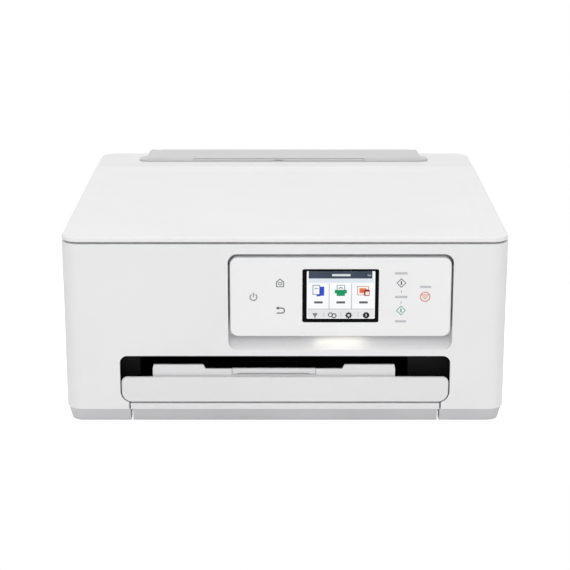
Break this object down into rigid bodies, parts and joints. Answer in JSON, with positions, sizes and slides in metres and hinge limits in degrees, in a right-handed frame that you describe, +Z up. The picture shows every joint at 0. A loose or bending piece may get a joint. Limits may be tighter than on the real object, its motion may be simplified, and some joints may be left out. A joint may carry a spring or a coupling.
{
  "type": "inkjet printer",
  "caption": "Low white desktop inkjet printer with a flatbed scanner under a thin lid, a tilting touch panel, a front paper cassette and output tray, and a rear paper tray.",
  "frame": {"origin": "on the table, in the middle of the outline", "axes": "+X to the right seen from the front, +Y to the back, +Z up"},
  "size_m": [0.377, 0.359, 0.1682],
  "materials": {
    "casing_white": "fine moulded texture",
    "lid_white": "fine moulded texture",
    "tray_white": "smooth moulded",
    "cover_grey": "smooth moulded",
    "base_grey": "fine moulded texture",
    "black_plastic": "matt moulded",
    "dark_plastic": "satin moulded",
    "display_black": "polished cover glass, screen dark behind it",
    "clear_glass": "polished float glass",
    "light_guide": "frosted clear acrylic",
    "pad_foam": "smooth white foam sheet",
    "zinc_steel": "zinc coated pressed sheet",
    "ground_steel": "ground rod",
    "acetal": "natural acetal moulding",
    "roller_rubber": "ground rubber",
    "foot_rubber": "soft rubber",
    "board_green": "solder resist on glass fibre board",
    "cartridge_black": "moulded"
  },
  "bodies": {
    "casing": {"main_casing": "casing_white", "base_tray": "base_grey", "rubber_feet": "foot_rubber", "case_screws": "zinc_steel", "output_slot_liner": "black_plastic", "chassis_frame": "zinc_steel", "platen": "black_plastic", "feed_motor": "zinc_steel", "carriage_guide_rod": "ground_steel", "carriage_motor": "zinc_steel", "carriage_belt": "roller_rubber", "purge_unit": "dark_plastic", "paper_guides": "dark_plastic", "rear_paper_chute": "dark_plastic", "power_supply": "black_plastic", "power_inlet": "black_plastic", "main_board": "board_green"},
    "scanner": {"scanner_tub": "dark_plastic", "scanner_frame": "casing_white", "platen_glass": "clear_glass", "scan_guide_rod": "ground_steel"},
    "scan_head": {"scan_carriage": "black_plastic"},
    "scan_gear": {"scan_drive_gear": "acetal"},
    "lid": {"document_cover": "lid_white", "document_pad": "pad_foam"},
    "operation_panel": {"panel_front": "casing_white", "panel_back": "casing_white", "touch_display": "display_black", "panel_board": "board_green", "status_light_guide": "light_guide"},
    "carriage": {"print_carriage": "dark_plastic", "ink_cartridges": "cartridge_black"},
    "output_tray": {"output_tray": "tray_white"},
    "output_extension": {"output_extension": "tray_white"},
    "output_stopper": {"output_stopper": "tray_white"},
    "cassette": {"cassette": "tray_white"},
    "cassette_guide_left": {"cassette_guide_left": "tray_white"},
    "cassette_guide_right": {"cassette_guide_right": "tray_white"},
    "cassette_pinion": {"cassette_pinion": "acetal"},
    "cassette_length_guide": {"cassette_length_guide": "tray_white"},
    "feed_roller": {"feed_roller": "roller_rubber"},
    "eject_roller": {"eject_roller": "roller_rubber"},
    "idler_gear": {"idler_gear": "acetal"},
    "pinch_rollers": {"pinch_rollers": "acetal"},
    "star_wheels": {"star_wheels": "ground_steel"},
    "black_lever": {"black_lever": "dark_plastic"},
    "colour_lever": {"colour_lever": "dark_plastic"},
    "drive_pulley": {"drive_pulley": "acetal"},
    "idler_pulley": {"idler_pulley": "acetal"},
    "purge_caps": {"purge_caps": "roller_rubber"},
    "turn_roller": {"turn_roller": "roller_rubber"},
    "pickup_arm": {"pickup_arm": "dark_plastic"},
    "pickup_roller": {"pickup_roller": "roller_rubber"},
    "rear_feed_roller": {"rear_feed_roller": "roller_rubber"},
    "rear_guide_left": {"rear_guide_left": "dark_plastic"},
    "rear_guide_right": {"rear_guide_right": "dark_plastic"},
    "rear_guide_pinion": {"rear_guide_pinion": "acetal"},
    "rear_tray_cover": {"rear_tray_cover": "cover_grey"},
    "paper_support": {"paper_support": "cover_grey"},
    "rear_door": {"rear_door": "casing_white"}
  },
  "joints": [
    {"name": "scanner_hinge", "type": "hinge", "parent": "casing", "child": "scanner", "pos_m": [0, 0.1151, 0.1618], "axis": [-1, 0, 0], "range_deg": [0, 28]},
    {"name": "scan_head_slide", "type": "slide", "parent": "scanner", "child": "scan_head", "axis": [1, 0, 0], "range_m": [0, 0.262]},
    {"name": "scan_gear_spin", "type": "hinge", "parent": "scan_head", "child": "scan_gear", "pos_m": [-0.138, 0.0993, 0.1366], "axis": [0, 1, 0], "range_deg": [0, 1900]},
    {"name": "lid_hinge", "type": "hinge", "parent": "scanner", "child": "lid", "pos_m": [0, 0.1151, 0.1618], "axis": [-1, 0, 0], "range_deg": [0, 80]},
    {"name": "panel_hinge", "type": "hinge", "parent": "casing", "child": "operation_panel", "pos_m": [0.0469, -0.1735, 0.1406], "axis": [-1, 0, 0], "range_deg": [0, 45]},
    {"name": "output_tray_slide", "type": "slide", "parent": "casing", "child": "output_tray", "axis": [0, -1, 0], "range_m": [0, 0.095]},
    {"name": "output_extension_slide", "type": "slide", "parent": "output_tray", "child": "output_extension", "axis": [0, -1, 0], "range_m": [0, 0.07]},
    {"name": "output_stopper_hinge", "type": "hinge", "parent": "output_extension", "child": "output_stopper", "pos_m": [-0.0095, -0.1483, 0.0432], "axis": [-1, 0, 0], "range_deg": [0, 75]},
    {"name": "cassette_slide", "type": "slide", "parent": "casing", "child": "cassette", "axis": [0, -1, 0], "range_m": [0, 0.23]},
    {"name": "cassette_guide_left_slide", "type": "slide", "parent": "cassette", "child": "cassette_guide_left", "axis": [1, 0, 0], "range_m": [0, 0.05]},
    {"name": "cassette_guide_right_slide", "type": "slide", "parent": "cassette", "child": "cassette_guide_right", "axis": [-1, 0, 0], "range_m": [0, 0.05]},
    {"name": "cassette_pinion_spin", "type": "hinge", "parent": "cassette", "child": "cassette_pinion", "pos_m": [-0.0095, -0.0155, 0.0047], "axis": [0, 0, 1], "range_deg": [-483, 0]},
    {"name": "length_guide_slide", "type": "slide", "parent": "cassette", "child": "cassette_length_guide", "axis": [0, 1, 0], "range_m": [0, 0.105]},
    {"name": "feed_roller_spin", "type": "hinge", "parent": "casing", "child": "feed_roller", "pos_m": [0, 0.008, 0.05], "axis": [1, 0, 0], "continuous": true},
    {"name": "eject_roller_spin", "type": "hinge", "parent": "casing", "child": "eject_roller", "pos_m": [0, -0.066, 0.05], "axis": [1, 0, 0], "continuous": true},
    {"name": "idler_gear_spin", "type": "hinge", "parent": "casing", "child": "idler_gear", "pos_m": [-0.173, -0.029, 0.05], "axis": [1, 0, 0], "continuous": true},
    {"name": "pinch_rollers_spin", "type": "hinge", "parent": "casing", "child": "pinch_rollers", "pos_m": [0, 0.008, 0.0603], "axis": [1, 0, 0], "continuous": true},
    {"name": "star_wheels_spin", "type": "hinge", "parent": "casing", "child": "star_wheels", "pos_m": [0, -0.066, 0.0613], "axis": [1, 0, 0], "continuous": true},
    {"name": "carriage_slide", "type": "slide", "parent": "casing", "child": "carriage", "axis": [-1, 0, 0], "range_m": [0, 0.238]},
    {"name": "black_lever_hinge", "type": "hinge", "parent": "carriage", "child": "black_lever", "pos_m": [0.138, 0.012, 0.099], "axis": [-1, 0, 0], "range_deg": [0, 18]},
    {"name": "colour_lever_hinge", "type": "hinge", "parent": "carriage", "child": "colour_lever", "pos_m": [0.102, 0.012, 0.099], "axis": [-1, 0, 0], "range_deg": [0, 18]},
    {"name": "drive_pulley_spin", "type": "hinge", "parent": "casing", "child": "drive_pulley", "pos_m": [-0.148, 0.047, 0.088], "axis": [0, 1, 0], "range_deg": [0, 1954]},
    {"name": "idler_pulley_spin", "type": "hinge", "parent": "casing", "child": "idler_pulley", "pos_m": [0.148, 0.047, 0.088], "axis": [0, 1, 0], "range_deg": [0, 1954]},
    {"name": "purge_caps_slide", "type": "slide", "parent": "casing", "child": "purge_caps", "axis": [0, 0, 1], "range_m": [0, 0.001]},
    {"name": "turn_roller_spin", "type": "hinge", "parent": "casing", "child": "turn_roller", "pos_m": [0, 0.125, 0.04], "axis": [1, 0, 0], "continuous": true},
    {"name": "pickup_arm_hinge", "type": "hinge", "parent": "casing", "child": "pickup_arm", "pos_m": [-0.0095, 0.101, 0.0345], "axis": [1, 0, 0], "range_deg": [0, 9], "stiffness_Nm_per_rad": 0.1, "springref_deg": -17.19},
    {"name": "pickup_roller_spin", "type": "hinge", "parent": "pickup_arm", "child": "pickup_roller", "pos_m": [-0.0095, 0.073, 0.026], "axis": [1, 0, 0], "continuous": true},
    {"name": "rear_feed_roller_spin", "type": "hinge", "parent": "casing", "child": "rear_feed_roller", "pos_m": [0, 0.09225, 0.08135], "axis": [1, 0, 0], "continuous": true},
    {"name": "rear_guide_left_slide", "type": "slide", "parent": "casing", "child": "rear_guide_left", "axis": [1, 0, 0], "range_m": [0, 0.048]},
    {"name": "rear_guide_right_slide", "type": "slide", "parent": "casing", "child": "rear_guide_right", "axis": [-1, 0, 0], "range_m": [0, 0.048]},
    {"name": "rear_guide_pinion_spin", "type": "hinge", "parent": "casing", "child": "rear_guide_pinion", "pos_m": [-0.0095, 0.15047, 0.1391], "axis": [0, -0.7954, 0.6061], "range_deg": [-483, 0]},
    {"name": "rear_tray_cover_hinge", "type": "hinge", "parent": "casing", "child": "rear_tray_cover", "pos_m": [0, 0.17385, 0.16605], "axis": [-1, 0, 0], "range_deg": [0, 110]},
    {"name": "paper_support_slide", "type": "slide", "parent": "rear_tray_cover", "child": "paper_support", "axis": [0, -1, 0], "range_m": [0, 0.0285]},
    {"name": "rear_door_hinge", "type": "hinge", "parent": "casing", "child": "rear_door", "pos_m": [-0.0095, 0.17825, 0.02905], "axis": [-1, 0, 0], "range_deg": [0, 75]}
  ],
  "couplings": [
    {"joint": "scan_gear_spin", "follows": "scan_head_slide", "rad_per_m": 125},
    {"joint": "cassette_guide_right_slide", "follows": "cassette_guide_left_slide", "ratio": 1},
    {"joint": "cassette_pinion_spin", "follows": "cassette_guide_left_slide", "rad_per_m": -166.67},
    {"joint": "eject_roller_spin", "follows": "feed_roller_spin", "ratio": 1},
    {"joint": "idler_gear_spin", "follows": "feed_roller_spin", "ratio": -1.4467},
    {"joint": "pinch_rollers_spin", "follows": "feed_roller_spin", "ratio": -1.5},
    {"joint": "star_wheels_spin", "follows": "feed_roller_spin", "ratio": -1.2},
    {"joint": "drive_pulley_spin", "follows": "carriage_slide", "rad_per_m": 142.86},
    {"joint": "idler_pulley_spin", "follows": "carriage_slide", "rad_per_m": 142.86},
    {"joint": "rear_guide_right_slide", "follows": "rear_guide_left_slide", "ratio": 1},
    {"joint": "rear_guide_pinion_spin", "follows": "rear_guide_left_slide", "rad_per_m": -166.67}
  ]
}
